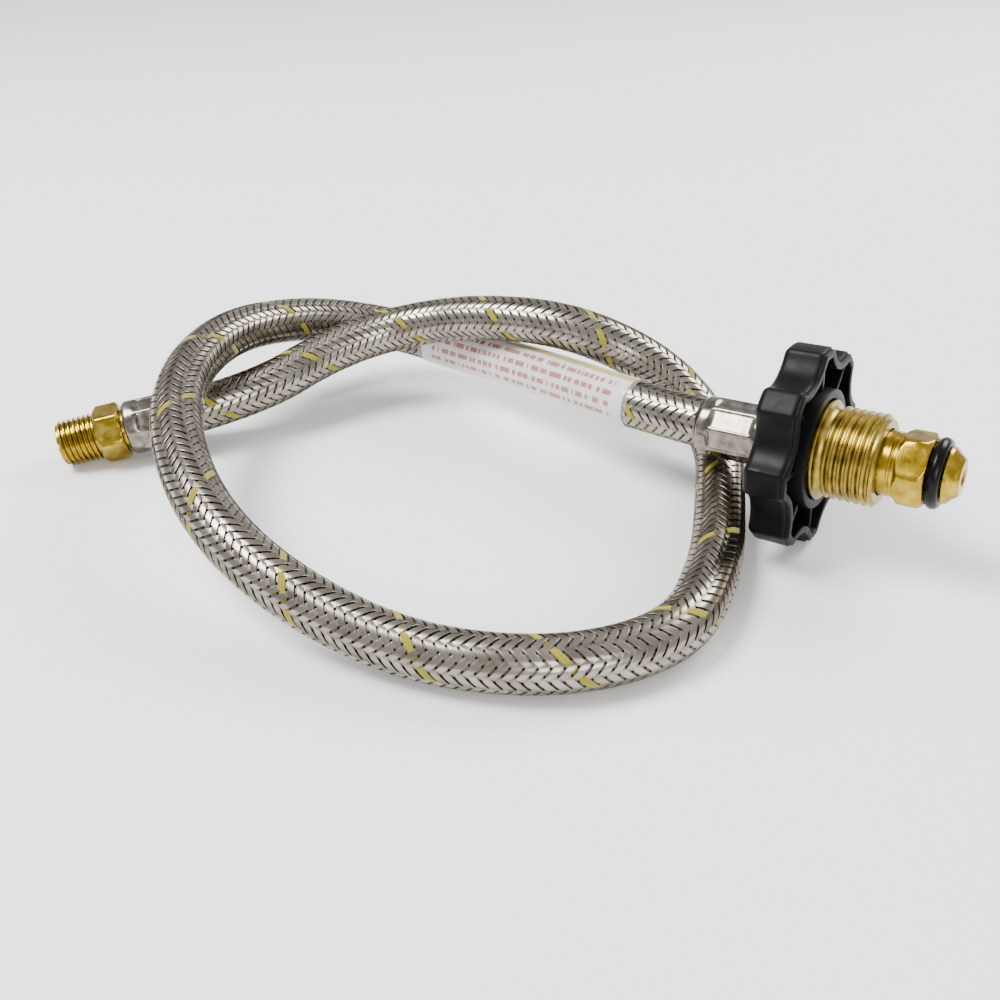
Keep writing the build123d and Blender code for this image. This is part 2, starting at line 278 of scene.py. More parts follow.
# the hose's line
hose = {
    "radius": 6.5,
    "rubberRadius": 5.85,
    "start": -28.2,          # along the inlet axis, from the nut's face
    "firstCorner": -54.0,
    "ferruleEnd": -46.5,
    "lastCorner": 52.0,      # along the outlet axis, from the nipple's tip
    "end": 19.4,
    "length": 0.655,         # metres, inlet crimp to outlet crimp
    "corners": [
        (-90, 8.5, 18), (-115.5, 14, 14), (-142.5, 10.5, 16.5), (-159, -10.5, 24), (-163.5, -41.5, 29.5),
        (-145, -76, 28), (-105.5, -100, 18.5), (-61.5, -98, 6.5), (-26, -84.5, 6.5), (-6.5, -59.5, 6.5),
        (-10.8, -32, 6.5), (-20.8, -8, 6.5), (-32, 15.5, 9.5), (-53, 23.5, 21.5), (-77, 14, 32.5),
        (-104.5, 9.5, 30.5), (-127.5, 4, 24.5), (-143.5, -15, 20),
    ],
}


def routePoints():
    # each end leaves straight along its fitting's axis
    points = [inletFace + inletAxis * station / 1000 for station in (hose["start"], hose["firstCorner"])]
    points += [mm(*corner) for corner in hose["corners"]]
    points += [outletTip + outletAxis * station / 1000 for station in (hose["lastCorner"], hose["end"])]
    return points


def makeHose():
    curve = bpy.data.curves.new("gasHose", "CURVE")
    curve.dimensions = "3D"
    points = routePoints()
    spline = curve.splines.new("NURBS")
    spline.points.add(len(points) - 1)
    for knot, point in zip(spline.points, points):
        knot.co = (*point, 1)
    spline.order_u = 3
    spline.use_endpoint_u = True
    curve.resolution_u = 16
    piece = bpy.data.objects.new("gasHose", curve)
    bpy.context.scene.collection.objects.link(piece)
    bpy.context.view_layer.update()
    line = bpy.data.meshes.new_from_object(piece)   # the spline's own points, before it has a bevel
    places = np.array([vertex.co for vertex in line.vertices])
    bpy.data.meshes.remove(line)
    curve.bevel_depth = hose["rubberRadius"] / 1000
    curve.bevel_resolution = 6
    curve.use_fill_caps = True
    curve.materials.append(hoseRubber)
    return piece, places


def travelFrames(places, step):
    # even stations along the line, in mm, each with two directions across it that do not twist
    places = places * 1000
    lengths = np.concatenate([[0], np.cumsum(np.linalg.norm(np.diff(places, axis=0), axis=1))])
    stations = np.linspace(0, lengths[-1], int(lengths[-1] / step) + 1)
    centers = np.stack([np.interp(stations, lengths, places[:, i]) for i in range(3)], axis=1)
    tangents = np.gradient(centers, axis=0)
    kernel = np.ones(9) / 9
    padded = np.pad(tangents, ((4, 4), (0, 0)), mode="edge")
    tangents = np.stack([np.convolve(padded[:, i], kernel, mode="valid") for i in range(3)], axis=1)
    tangents /= np.linalg.norm(tangents, axis=1)[:, None]
    first = np.cross(tangents[0], (0, 0, 1))
    normals = [first / np.linalg.norm(first)]
    for tangent in tangents[1:]:
        normal = normals[-1] - tangent * np.dot(normals[-1], tangent)
        normals.append(normal / np.linalg.norm(normal))
    normals = np.array(normals)
    return stations, centers, normals, np.cross(tangents, normals)


gasHose, hoseLine = makeHose()
stations, centers, normals, binormals = travelFrames(hoseLine, 0.4)
hoseEnd = stations[-1]
print("hose line made, mm:", round(float(hoseEnd), 1))


def onHose(station, angle, radius):
    # points in metres at stations in mm, angles round the hose, radii in mm
    middle = np.stack([np.interp(station, stations, centers[:, i]) for i in range(3)], axis=-1)
    side = np.stack([np.interp(station, stations, normals[:, i]) for i in range(3)], axis=-1)
    top = np.stack([np.interp(station, stations, binormals[:, i]) for i in range(3)], axis=-1)
    outward = np.cos(angle)[..., None] * side + np.sin(angle)[..., None] * top
    return (middle + radius[..., None] * outward) / 1000


def gridMesh(grid, faceFlip=False, endsJoined=False):
    # a mesh from rows of points, each row closed on itself
    rows, columns = grid.shape[:2]
    index = np.arange(rows * columns).reshape(rows, columns)
    if endsJoined:
        index = np.concatenate([index, index[:1]])
    following = np.roll(index, -1, axis=1)
    quads = np.stack([index[:-1], following[:-1], following[1:], index[1:]], axis=-1).reshape(-1, 4)
    if faceFlip:
        quads = quads[:, ::-1]
    return grid.reshape(-1, 3), quads


def meshPiece(name, points, quads, attributes):
    mesh = bpy.data.meshes.new(name)
    mesh.vertices.add(len(points))
    mesh.vertices.foreach_set("co", np.asarray(points, dtype=np.float32).ravel())
    mesh.loops.add(quads.size)
    mesh.loops.foreach_set("vertex_index", quads.ravel().astype(np.int32))
    mesh.polygons.add(len(quads))
    mesh.polygons.foreach_set("loop_start", np.arange(0, quads.size, 4, dtype=np.int32))
    mesh.polygons.foreach_set("use_smooth", np.ones(len(quads), dtype=bool))
    mesh.update(calc_edges=True)
    mesh.validate()
    for key, values in attributes.items():
        layer = mesh.attributes.new(key, "FLOAT", "POINT")
        layer.data.foreach_set("value", np.asarray(values, dtype=np.float32).ravel())
    piece = bpy.data.objects.new(name, mesh)
    bpy.context.scene.collection.objects.link(piece)
    return piece


# wire braid
braid = {
    "lead": 31.0,            # one turn of a carrier along the hose
    "each": 12,              # carriers each way
    "wires": 5,              # wires side by side in a carrier
    "wireRadius": 0.155,
    "middle": 6.14,          # radius where the layers cross
    "lift": 0.17,            # how far a carrier rises over, and sinks under
    "steps": 8,              # stations in one over-and-under
    "margin": 1.0,
    "tracer": 4,             # which carrier is the coloured yarn
    "perPiece": 6,
}


def carrierStrip(number, hand):
    # one flat carrier of parallel wires, over two and under two of the others
    lead, each = braid["lead"], braid["each"]
    wires, wireRadius = braid["wires"], braid["wireRadius"]
    seed = number + 20 * hand
    rows = int((hoseEnd - 2 * braid["margin"]) / (lead / 6 / braid["steps"])) + 1
    along = np.linspace(braid["margin"], hoseEnd - braid["margin"], rows)
    slope = math.atan2(2 * math.pi * braid["middle"], lead)
    half = wires * wireRadius
    ridge = np.arange(2 * wires + 1)
    across = (ridge - wires) * wireRadius
    height = np.where(ridge % 2 == 1, wireRadius, wireRadius * 0.25)
    across = np.concatenate([across, [half * 0.98, -half * 0.98]])
    height = np.concatenate([height, [-wireRadius * 0.7, -wireRadius * 0.7]])
    station = along[:, None] - hand * across[None, :] * math.sin(slope)
    turn = hand * 2 * math.pi * along[:, None] / lead + 2 * math.pi * number / each
    turn = turn + across[None, :] * math.cos(slope) / braid["middle"]
    column = np.cos(6 * (turn - math.radians(7.5)))
    lift = hand * braid["lift"] * np.clip(1.5 * column, -1, 1)
    wobble = 0.02 * np.sin(along[:, None] * 0.37 + seed)
    radius = braid["middle"] + lift + height[None, :] + wobble
    station = np.clip(station, 0.2, hoseEnd - 0.2)
    grid = onHose(station, turn, radius)
    points, quads = gridMesh(grid, faceFlip=hand < 0)
    # tone: painted highlight on the wire crests and where a carrier rides over, painted shade where it sinks
    # under and along its edges, and a random tone for each carrier
    tone = 0.35 + 0.3 * (height[None, :] > wireRadius * 0.5) + 0.12 * np.clip(hand * column, -1, 1)
    tone = tone + 0.1 * math.sin(seed * 7.3) - 0.45 * (np.abs(across[None, :]) > half * 0.9)
    return points, quads, tone.ravel(), np.broadcast_to(across[None, :], tone.shape).ravel()


def makeBraid():
    carriers = [(number, hand) for hand in (1, -1) for number in range(braid["each"])]
    yarn = (braid["tracer"], 1)
    carriers.remove(yarn)
    made = []
    batches = [carriers[i:i + braid["perPiece"]] for i in range(0, len(carriers), braid["perPiece"])]
    for place, batch in enumerate(batches + [[yarn]]):
        isYarn = batch == [yarn]
        allPoints, allQuads, allToneAndShade, allAcross, count = [], [], [], [], 0
        for number, hand in batch:
            points, quads, tone, across = carrierStrip(number, hand)
            allPoints.append(points)
            allQuads.append(quads + count)
            allToneAndShade.append(tone)
            allAcross.append(across)
            count += len(points)
        name = "tracerYarn" if isYarn else f"wireBraid{place + 1}"
        piece = meshPiece(name, np.concatenate(allPoints), np.concatenate(allQuads),
                          {"tone": np.concatenate(allToneAndShade), "across": np.concatenate(allAcross)})
        piece.data.materials.append(yarnYellow if isYarn else wireSteel)
        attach(piece, "hose")
        made.append(piece)
    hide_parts("steel_braid")
    return made


braidPieces = makeBraid()
print("braid made:", sum(len(piece.data.polygons) for piece in braidPieces), "faces")


# lathe helpers
def clearSelection():
    if bpy.context.object and bpy.context.object.mode != "OBJECT":
        bpy.ops.object.mode_set(mode="OBJECT")
    bpy.ops.object.select_all(action="DESELECT")


def startCircle(name, radius, station, sides):
    clearSelection()
    bpy.ops.mesh.primitive_circle_add(vertices=sides, radius=radius, location=(0, 0, station))
    piece = bpy.context.object
    piece.name = name
    bpy.ops.object.transform_apply(location=True, rotation=True, scale=True)
    bpy.ops.object.mode_set(mode="EDIT")
    bpy.ops.mesh.select_all(action="SELECT")
    return piece


def pullRing(fromPoint, toPoint):
    # the selected ring of edges is extruded along the axis, then sized
    (stationA, radiusA), (stationB, radiusB) = fromPoint, toPoint
    bpy.ops.mesh.extrude_region_move(TRANSFORM_OT_translate={"value": (0, 0, stationB - stationA)})
    size = radiusB / radiusA
    if abs(size - 1) > 1e-6:
        bpy.ops.transform.resize(value=(size, size, 1), center_override=(0, 0, stationB))


def turnPiece(name, profile, sides):
    # profile is (station, radius) points in mm, from one end of the cut to the other
    piece = startCircle(name, profile[0][1], profile[0][0], sides)
    for fromPoint, toPoint in zip(profile, profile[1:]):
        pullRing(fromPoint, toPoint)
    bpy.ops.mesh.select_all(action="SELECT")
    bpy.ops.mesh.remove_doubles(threshold=0.0005)
    bpy.ops.object.mode_set(mode="OBJECT")
    return piece


def cleanMesh(piece, smoothAngle=30, merge=0.0005):
    # merge is in the mesh's own units: mm before a piece is put in place, metres on the hose
    clearSelection()
    piece.select_set(True)
    bpy.context.view_layer.objects.active = piece
    bpy.ops.object.mode_set(mode="EDIT")
    bpy.ops.mesh.select_all(action="SELECT")
    bpy.ops.mesh.remove_doubles(threshold=merge)
    bpy.ops.mesh.normals_make_consistent(inside=False)
    bpy.ops.object.mode_set(mode="OBJECT")
    bpy.ops.object.shade_smooth_by_angle(angle=math.radians(smoothAngle))


def setPiece(piece, place, material, body, smoothAngle=30):
    cleanMesh(piece, smoothAngle)
    mesh = piece.data
    layer = mesh.attributes.new("station", "FLOAT", "POINT")
    for vertex, value in zip(mesh.vertices, layer.data):
        value.value = vertex.co.z
    mesh.transform(place)
    if place.to_3x3().determinant() < 0:
        mesh.flip_normals()
    mesh.materials.clear()
    mesh.materials.append(material)
    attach(piece, body)
    return piece


def joinPieces(main, others):
    clearSelection()
    for piece in [main, *others]:
        piece.select_set(True)
    bpy.context.view_layer.objects.active = main
    bpy.ops.object.join()
    return main


def arcProfile(center, radius, startAngle, endAngle, count):
    # (station, radius) points on an arc, angles in degrees from the axis direction
    points = []
    for i in range(count + 1):
        angle = math.radians(startAngle + (endAngle - startAngle) * i / count)
        points.append((center[0] + radius * math.cos(angle), center[1] + radius * math.sin(angle)))
    return points


def slopeProfile(start, step, low, high):
    # a slope in six short steps, so that milled flats meet it in a clean curve
    return [(start + count * step, low + count * (high - low) / 6) for count in range(7)]


def smoothStep(low, high, value):
    share = min(1.0, max(0.0, (value - low) / (high - low)))
    return share * share * (3 - 2 * share)


def radiusAt(vertex):
    return math.hypot(vertex.co.x, vertex.co.y)


def resizeTo(vertex, radius):
    size = radius / radiusAt(vertex)
    vertex.co.x *= size
    vertex.co.y *= size


def angleFrom(vertex, count, turn):
    # the angle to the nearest of count even directions, in degrees
    angle = math.degrees(math.atan2(vertex.co.y, vertex.co.x)) - turn
    pitch = 360 / count
    return (angle + pitch / 2) % pitch - pitch / 2


def millHexagon(piece, low, high, acrossFlats, turn):
    # flats cut on a turned collar; the corners keep a thin band of the bar's own surface
    for vertex in piece.data.vertices:
        if low - 0.001 <= vertex.co.z <= high + 0.001:
            flat = acrossFlats / 2 / math.cos(math.radians(angleFrom(vertex, 6, turn)))
            if radiusAt(vertex) > flat:
                resizeTo(vertex, flat)


# screw threads
def screwThread(name, start, end, pitch, depth, crestRadius, leftHand, boreRadius, chamfer, sides=72):
    # one pitch of the outline, pulled point by point and swept by a Screw modifier;
    # crestRadius and chamfer are functions of the station
    turns = int((end - start) / pitch) + 3
    low = start - 1.5 * pitch
    outline = [(0.0, -depth), (0.12, -depth), (0.38, -0.06), (0.42, 0.0),
               (0.58, 0.0), (0.62, -0.06), (0.88, -depth), (1.0, -depth)]
    clearSelection()
    bpy.ops.mesh.primitive_plane_add(size=0.01, location=(0, 0, 0))
    piece = bpy.context.object
    piece.name = name
    bpy.ops.object.mode_set(mode="EDIT")
    bpy.ops.mesh.select_all(action="SELECT")
    bpy.ops.mesh.merge(type="CENTER")
    bpy.ops.mesh.select_all(action="SELECT")
    base = crestRadius(start)
    bpy.ops.transform.translate(value=(base + outline[0][1], 0, low))
    for (shareA, riseA), (shareB, riseB) in zip(outline, outline[1:]):
        bpy.ops.mesh.extrude_region_move(
            TRANSFORM_OT_translate={"value": (riseB - riseA, 0, (shareB - shareA) * pitch)})
    bpy.ops.object.mode_set(mode="OBJECT")
    bpy.ops.object.modifier_add(type="SCREW")
    screw = piece.modifiers[-1]
    screw.axis = "Z"
    screw.angle = -2 * math.pi if leftHand else 2 * math.pi
    screw.screw_offset = pitch
    screw.iterations = turns
    screw.steps = screw.render_steps = sides
    screw.use_merge_vertices = True
    screw.merge_threshold = 0.001
    bpy.ops.object.modifier_apply(modifier=screw.name)
    bpy.ops.object.mode_set(mode="EDIT")
    bpy.ops.mesh.select_all(action="SELECT")
    bpy.ops.mesh.remove_doubles(threshold=0.0005)
    bpy.ops.mesh.bisect(plane_co=(0, 0, start), plane_no=(0, 0, 1), clear_inner=True)
    bpy.ops.mesh.select_all(action="SELECT")
    bpy.ops.mesh.bisect(plane_co=(0, 0, end), plane_no=(0, 0, 1), clear_outer=True)
    bpy.ops.object.mode_set(mode="OBJECT")
    for vertex in piece.data.vertices:
        station = min(end, max(start, vertex.co.z))
        wanted = radiusAt(vertex) + crestRadius(station) - base
        resizeTo(vertex, min(wanted, chamfer(station)))
    closeThread(piece, start, end, boreRadius)
    return piece


def selectStation(piece, station):
    # ends in edit mode, with only one end ring's vertices selected
    bpy.ops.mesh.select_mode(type="VERT")
    bpy.ops.mesh.select_all(action="DESELECT")
    bpy.ops.object.mode_set(mode="OBJECT")
    for vertex in piece.data.vertices:
        vertex.select = abs(vertex.co.z - station) < 0.002
    bpy.ops.object.mode_set(mode="EDIT")


def closeThread(piece, start, end, boreRadius):
    # both end faces, and the bore between them
    clearSelection()
    piece.select_set(True)
    bpy.context.view_layer.objects.active = piece
    bpy.ops.object.mode_set(mode="EDIT")
    for station in (start, end):
        selectStation(piece, station)
        bpy.ops.object.mode_set(mode="OBJECT")
        edge = max(radiusAt(vertex) for vertex in piece.data.vertices if vertex.select)
        bpy.ops.object.mode_set(mode="EDIT")
        bpy.ops.mesh.region_to_loop()
        bpy.ops.mesh.extrude_region_move()
        size = boreRadius / edge
        bpy.ops.transform.resize(value=(size, size, 1), center_override=(0, 0, station))
    bpy.ops.mesh.select_all(action="DESELECT")
    bpy.ops.mesh.select_non_manifold(extend=False)
    bpy.ops.mesh.bridge_edge_loops()
    bpy.ops.object.mode_set(mode="OBJECT")


# inlet nut
nut = {
    "crest": 11.176, "pitch": 1.814, "depth": 1.0, "threadEnd": -12.2,
    "collar": 12.2, "collarBack": -14.3, "bore": 8.1, "rearBore": 6.45, "back": -25.3, "step": -15.9,
    "driveRadius": 11.6,
}


def nutChamfer(station):
    # a start of about 45 degrees at the front face and a short run-out at the collar
    front = nut["crest"] - nut["depth"] - 0.15 + max(0.0, -station) * 1.1
    back = nut["crest"] - nut["depth"] - 0.05 + max(0.0, station - nut["threadEnd"]) * 1.6
    return min(front, back)


def makeNut():
    thread = screwThread("inletNut", nut["threadEnd"], 0.0, nut["pitch"], nut["depth"],
                         lambda station: nut["crest"], True, nut["bore"], nutChamfer)
    back, end, root = nut["collarBack"], nut["threadEnd"] + 0.6, nut["crest"] - nut["depth"] - 0.1
    outer = nut["collar"]
    hollow = arcProfile((end, outer - 0.2), outer - 0.2 - root, 180, 270, 8)
    collar = turnPiece("nutCollar", [
        (back, nut["bore"] + 0.05), (back, outer - 0.3), (back + 0.3, outer), (end - 2.1, outer),
        *hollow, (end, nut["bore"] + 0.05), (back, nut["bore"] + 0.05)], 96)
    rear = turnPiece("nutRear", [
        (nut["back"] + 0.05, nut["rearBore"] + 0.5), (nut["back"] + 0.05, nut["driveRadius"]),
        (nut["collarBack"] + 0.1, nut["driveRadius"]), (nut["collarBack"] + 0.1, nut["bore"]),
        (nut["step"], nut["bore"]), (nut["step"], nut["rearBore"]),
        (nut["back"] + 0.6, nut["rearBore"]), (nut["back"] + 0.05, nut["rearBore"] + 0.5)], 96)
    joinPieces(thread, [collar, rear])
    return setPiece(thread, inletPlace, nutBrass, "wheel", 35)


inletNut = makeNut()
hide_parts("pol_nut")
print("nut made")


# inlet spigot
spigot = {
    "neck": 7.75, "shank": 6.1, "shoulder": -15.6, "tail": -27.0,
    "flats": 16.0, "hexBack": 3.6, "hexFront": 10.4,
    "ring": 12.1, "ringRadius": 6.8, "ringSection": 1.6, "groove": 5.25,
    "tip": 17.2, "orifice": 1.25, "orificeDepth": 7.0,
}


def makeSpigot():
    neck, shank, half = spigot["neck"], spigot["shank"], spigot["flats"] / 2
    tail, shoulder = spigot["tail"], spigot["shoulder"]
    corner = half / math.cos(math.radians(30)) - 0.22
    back, front = spigot["hexBack"], spigot["hexFront"]
    groove = spigot["groove"]
    grooveLow = spigot["ring"] - spigot["ringSection"] - 0.15
    grooveHigh = spigot["ring"] + spigot["ringSection"] + 0.15
    tip, orifice = spigot["tip"], spigot["orifice"]
    drillEnd = tip - spigot["orificeDepth"]
    rising = slopeProfile(back + 0.02, 0.18, half - 0.05, corner)
    falling = slopeProfile(front - 0.02, -0.18, half - 0.05, corner)[::-1]
    profile = [
        (tail, 3.0), (tail, shank - 0.3), (tail + 0.3, shank), (shoulder, shank),
        (shoulder, neck - 0.3), (shoulder + 0.3, neck), (2.0, neck), (2.25, neck - 0.25),
        (2.6, neck - 0.28), (2.85, neck - 0.02), (back, neck - 0.05),
        *rising, *falling,
        (front, neck - 0.15), (grooveLow - 0.25, neck - 0.2), (grooveLow, neck - 0.45),
        (grooveLow, groove), (grooveHigh, groove), (grooveHigh, 6.45), (grooveHigh + 0.25, 6.75),
        (grooveHigh + 0.9, 6.6), (tip - 1.4, 5.35), (tip - 0.75, 4.9), (tip - 0.3, 4.55),
        (tip - 0.05, 4.25), (tip, 4.0), (tip, 2.2), (tip - 0.45, 1.6), (tip - 0.6, orifice),
        (drillEnd, orifice), (drillEnd, 0.02),
    ]
    piece = turnPiece("inletSpigot", profile, 96)
    millHexagon(piece, back + 0.01, front - 0.01, spigot["flats"], 20)
    clearSelection()
    piece.select_set(True)
    bpy.context.view_layer.objects.active = piece
    bpy.ops.object.mode_set(mode="EDIT")
    bpy.ops.mesh.select_all(action="DESELECT")
    bpy.ops.mesh.select_non_manifold()
    bpy.ops.mesh.edge_face_add()
    bpy.ops.object.mode_set(mode="OBJECT")
    return setPiece(piece, inletPlace, spigotBrass, "hose", 28)


def makeRing():
    # a round section with a faint moulding line round the outside
    radius, section = spigot["ringRadius"], spigot["ringSection"]
    profile = []
    for step in range(33):
        angle = math.radians(-90 + 360 * step / 32)
        out = section * (1.03 if step == 16 else 1.0)
        profile.append((spigot["ring"] + section * math.cos(angle), radius + out * math.sin(angle)))
    piece = turnPiece("noseRing", profile, 96)
    return setPiece(piece, inletPlace, ringRubber, "hose", 60)


inletSpigot = makeSpigot()
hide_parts("inlet_spigot")
noseRing = makeRing()
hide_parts("nose_o_ring")
print("spigot and O-ring made")


# crimped ferrules
ferrule = {
    "radius": 7.6, "length": 19.6, "inletFront": -26.9, "outletStart": 18.1,
    "flat": 6.95, "panelLow": 4.2, "panelHigh": 14.6, "halfAngle": 18.5,
    "hoseSide": 6.45, "tailHole": 4.7,
}


def ferrulePanel(station, angle):
    # how far a jaw's flat is pressed at this place, 0 to 1
    lengthShare = smoothStep(ferrule["panelLow"] - 0.9, ferrule["panelLow"] + 0.3, station)
    lengthShare *= 1 - smoothStep(ferrule["panelHigh"] - 0.3, ferrule["panelHigh"] + 0.9, station)
    return lengthShare * (1 - smoothStep(ferrule["halfAngle"] - 1.2, ferrule["halfAngle"] + 2.2, abs(angle)))


def makeFerrule(name, place, turn):
    # station 0 is the fitting's side; the hose goes in at the other end
    radius, length = ferrule["radius"], ferrule["length"]
    hoseSide, tailHole = ferrule["hoseSide"], ferrule["tailHole"]
    profile = [(0.0, tailHole), (0.0, radius - 2.0)]
    profile += arcProfile((1.3, radius - 1.3), 1.3, 180, 90, 6)
    steps = int((length - 3.4) / 0.45)
    profile += [(1.3 + (length - 3.4) * step / steps, radius) for step in range(1, steps + 1)]
    profile += arcProfile((length - 2.1, radius - 1.15), 1.15, 90, 20, 8)
    profile += [(length - 0.5, hoseSide + 0.12), (length - 0.3, hoseSide), (length - 3.0, hoseSide),
                (1.3, hoseSide), (1.3, tailHole), (0.0, tailHole)]
    piece = turnPiece(name, profile, 192)
    for vertex in piece.data.vertices:
        outside = radiusAt(vertex)
        if outside > radius - 0.3:
            angle = angleFrom(vertex, 8, turn)
            flat = ferrule["flat"] / math.cos(math.radians(angle))
            share = ferrulePanel(vertex.co.z, angle)
            resizeTo(vertex, outside + (min(outside, flat) - outside) * share)
    return setPiece(piece, place, ferruleSteel, "hose", 40)


# the inlet ferrule's own axis runs back along the inlet axis
inletFerruleStart = inletFace + inletAxis * ferrule["inletFront"] / 1000
inletFerrulePlace = placeOn(inletFerruleStart, -inletAxis, Vector((0, 1, 0)))
inletFerrule = makeFerrule("inletFerrule", inletFerrulePlace, 0)
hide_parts("inlet_ferrule")
outletFerrulePlace = outletPlace @ Matrix.Translation((0, 0, ferrule["outletStart"]))
outletFerrule = makeFerrule("outletFerrule", outletFerrulePlace, 10)
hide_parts("outlet_ferrule")
print("ferrules made")


# outlet nipple
nipple = {
    "tipRadius": 6.36, "pitch": 1.337, "depth": 0.8, "threadEnd": 10.6, "hexEnd": 17.4,
    "flats": 14.3, "mouth": 2.6, "shank": 5.6,
}


def taperRadius(station):
    return nipple["tipRadius"] + station / 32


def nippleChamfer(station):
    # a sloped start at the tip and a short run-out at the hexagon
    cut, end = nipple["depth"] - 0.05, nipple["threadEnd"]
    front = nipple["tipRadius"] - cut + max(0.0, station) * 0.9
    back = taperRadius(end) - cut + max(0.0, end - station) * 1.6
    return min(front, back)


def makeNipple():
    thread = screwThread("outletNipple", 0.0, nipple["threadEnd"], nipple["pitch"], nipple["depth"],
                         taperRadius, False, nipple["mouth"], nippleChamfer)
    half = nipple["flats"] / 2
    corner = half / math.cos(math.radians(30)) - 0.2
    low, high = nipple["threadEnd"] - 0.2, nipple["hexEnd"]
    mouth, shank, shankEnd = nipple["mouth"], nipple["shank"], ferrule["outletStart"] + 0.6
    rising = slopeProfile(low + 0.02, 0.16, half - 0.1, corner)
    falling = slopeProfile(high - 0.02, -0.14, half - 0.1, corner)[::-1]
    profile = [
        (low, mouth), (low, half - 0.15), *rising, *falling,
        (high, half - 0.15), (high, shank), (shankEnd, shank), (shankEnd, mouth), (low, mouth),
    ]
    hexagon = turnPiece("nippleHex", profile, 96)
    millHexagon(hexagon, low + 0.01, high - 0.01, nipple["flats"], 90)
    joinPieces(thread, [hexagon])
    return setPiece(thread, outletPlace, nippleBrass, "hose", 28)


outletNipple = makeNipple()
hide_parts("outlet_nipple")
print("nipple made")


# hand wheel
wheel = {
    "radius": 25.0, "valley": 21.4, "lobes": 8, "lobeHalf": 7.4, "back": -25.3, "front": -15.0,
    "turn": 18.5,            # degrees from the sideways direction to the first hollow
    "hubFront": -14.3, "hubRadius": 14.7, "web": 2.5, "rim": 2.2, "rib": 1.25, "ribTop": -16.2,
    "hole": 12.25, "sides": 320,
}


def lobeOutline(angle, inset):
    # distance from the axis to the lobed outline, drawn in by inset
    half = math.radians(180 / wheel["lobes"] - wheel["lobeHalf"])
    chord = wheel["radius"] * math.sin(half)
    sag = wheel["radius"] * math.cos(half) - wheel["valley"]
    scoop = (chord * chord + sag * sag) / (2 * sag)
    center = wheel["valley"] + scoop
    scoop += inset
    pitch = 2 * math.pi / wheel["lobes"]
    turned = (angle - math.radians(wheel["turn"]) + pitch / 2) % pitch - pitch / 2
    rim = wheel["radius"] - inset
    reach = scoop * scoop - (center * math.sin(turned)) ** 2
    if reach <= 0:
        return rim
    hollow = center * math.cos(turned) - math.sqrt(reach)
    soft = 0.3
    return -soft * math.log(math.exp(-rim / soft) + math.exp(-hollow / soft)) if hollow < rim + 6 else rim


def makeWheel():
    back, front, rim = wheel["back"], wheel["front"], wheel["rim"]
    hole, hub, hubFront = wheel["hole"], wheel["hubRadius"], wheel["hubFront"]
    webFront = back + wheel["web"]
    # (station, round radius or None, inset from the lobed outline)
    rings = [
        (back, hole, None), (back, 14.4, None), (back + 0.5, 14.9, None), (back + 0.5, 16.4, None),
        (back + 0.5, None, 3.6), (back + 0.1, None, 3.0), (back, None, 2.4), (back, None, 1.7),
        (back + 0.12, None, 1.05), (back + 0.5, None, 0.5), (back + 1.05, None, 0.12),
        (back + 1.7, None, 0.0), (back + 4.5, None, 0.0), (front - 2.0, None, 0.0),
        (front - 1.2, None, 0.0), (front - 1.0, None, 0.12), (front - 0.95, None, 0.4),
        (front - 0.3, None, 0.45), (front - 0.08, None, 0.55), (front, None, 0.8),
        (front, None, rim - 0.3), (front - 0.1, None, rim - 0.08), (front - 0.35, None, rim),
        (front - 4.0, None, rim + 0.05), (webFront + 1.0, None, rim + 0.15),
        (webFront + 0.3, None, rim + 0.4), (webFront, None, rim + 1.0), (webFront, 16.6, None),
        (webFront + 0.25, 15.6, None), (webFront + 0.9, 15.0, None), (webFront + 3.0, hub + 0.15, None),
        (hubFront - 0.5, hub, None), (hubFront - 0.12, hub - 0.1, None), (hubFront, hub - 0.4, None),
        (hubFront, 12.75, None), (hubFront - 0.1, 12.5, None), (hubFront - 0.4, hole, None),
        (back, hole, None),
    ]
    stack = [(station, radius if radius else wheel["radius"] - inset) for station, radius, inset in rings]
    sides = wheel["sides"]
    piece = startCircle("handWheel", stack[0][1], stack[0][0], sides)
    for fromPoint, toPoint in zip(stack, stack[1:]):
        pullRing(fromPoint, toPoint)
    bpy.ops.object.mode_set(mode="OBJECT")
    for place, vertex in enumerate(piece.data.vertices):
        station, radius, inset = rings[place // sides]
        if radius is None:
            angle = math.atan2(vertex.co.y, vertex.co.x)
            resizeTo(vertex, lobeOutline(angle, inset))
    return piece


def makeRibs(main):
    # one rib at each lobe, from the hub to the inside of the rim
    low, high = wheel["back"] + wheel["web"] - 0.4, wheel["ribTop"]
    inner, outer = wheel["hubRadius"] - 0.4, wheel["radius"] - wheel["rim"] + 0.5
    pitch = 2 * math.pi / wheel["lobes"]
    ribs = []
    for count in range(wheel["lobes"]):
        clearSelection()
        bpy.ops.mesh.primitive_cube_add(size=1, location=((inner + outer) / 2, 0, (low + high) / 2),
                                        scale=(outer - inner, wheel["rib"], high - low))
        rib = bpy.context.object
        bpy.ops.object.transform_apply(location=True, rotation=True, scale=True)
        for vertex in rib.data.vertices:
            if vertex.co.z < (low + high) / 2:
                vertex.co.y *= 1.35        # draft, thicker at the root
        bpy.ops.object.modifier_add(type="BEVEL")
        rib.modifiers[-1].width = 0.22
        rib.modifiers[-1].segments = 2
        bpy.ops.object.modifier_apply(modifier=rib.modifiers[-1].name)
        rib.data.transform(Matrix.Rotation((count + 0.5) * pitch + math.radians(wheel["turn"]), 4, "Z"))
        ribs.append(rib)
    return joinPieces(main, ribs)


handWheel = makeRibs(makeWheel())
setPiece(handWheel, inletPlace, wheelNylon, "wheel", 32)
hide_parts("hand_wheel")
print("wheel made")


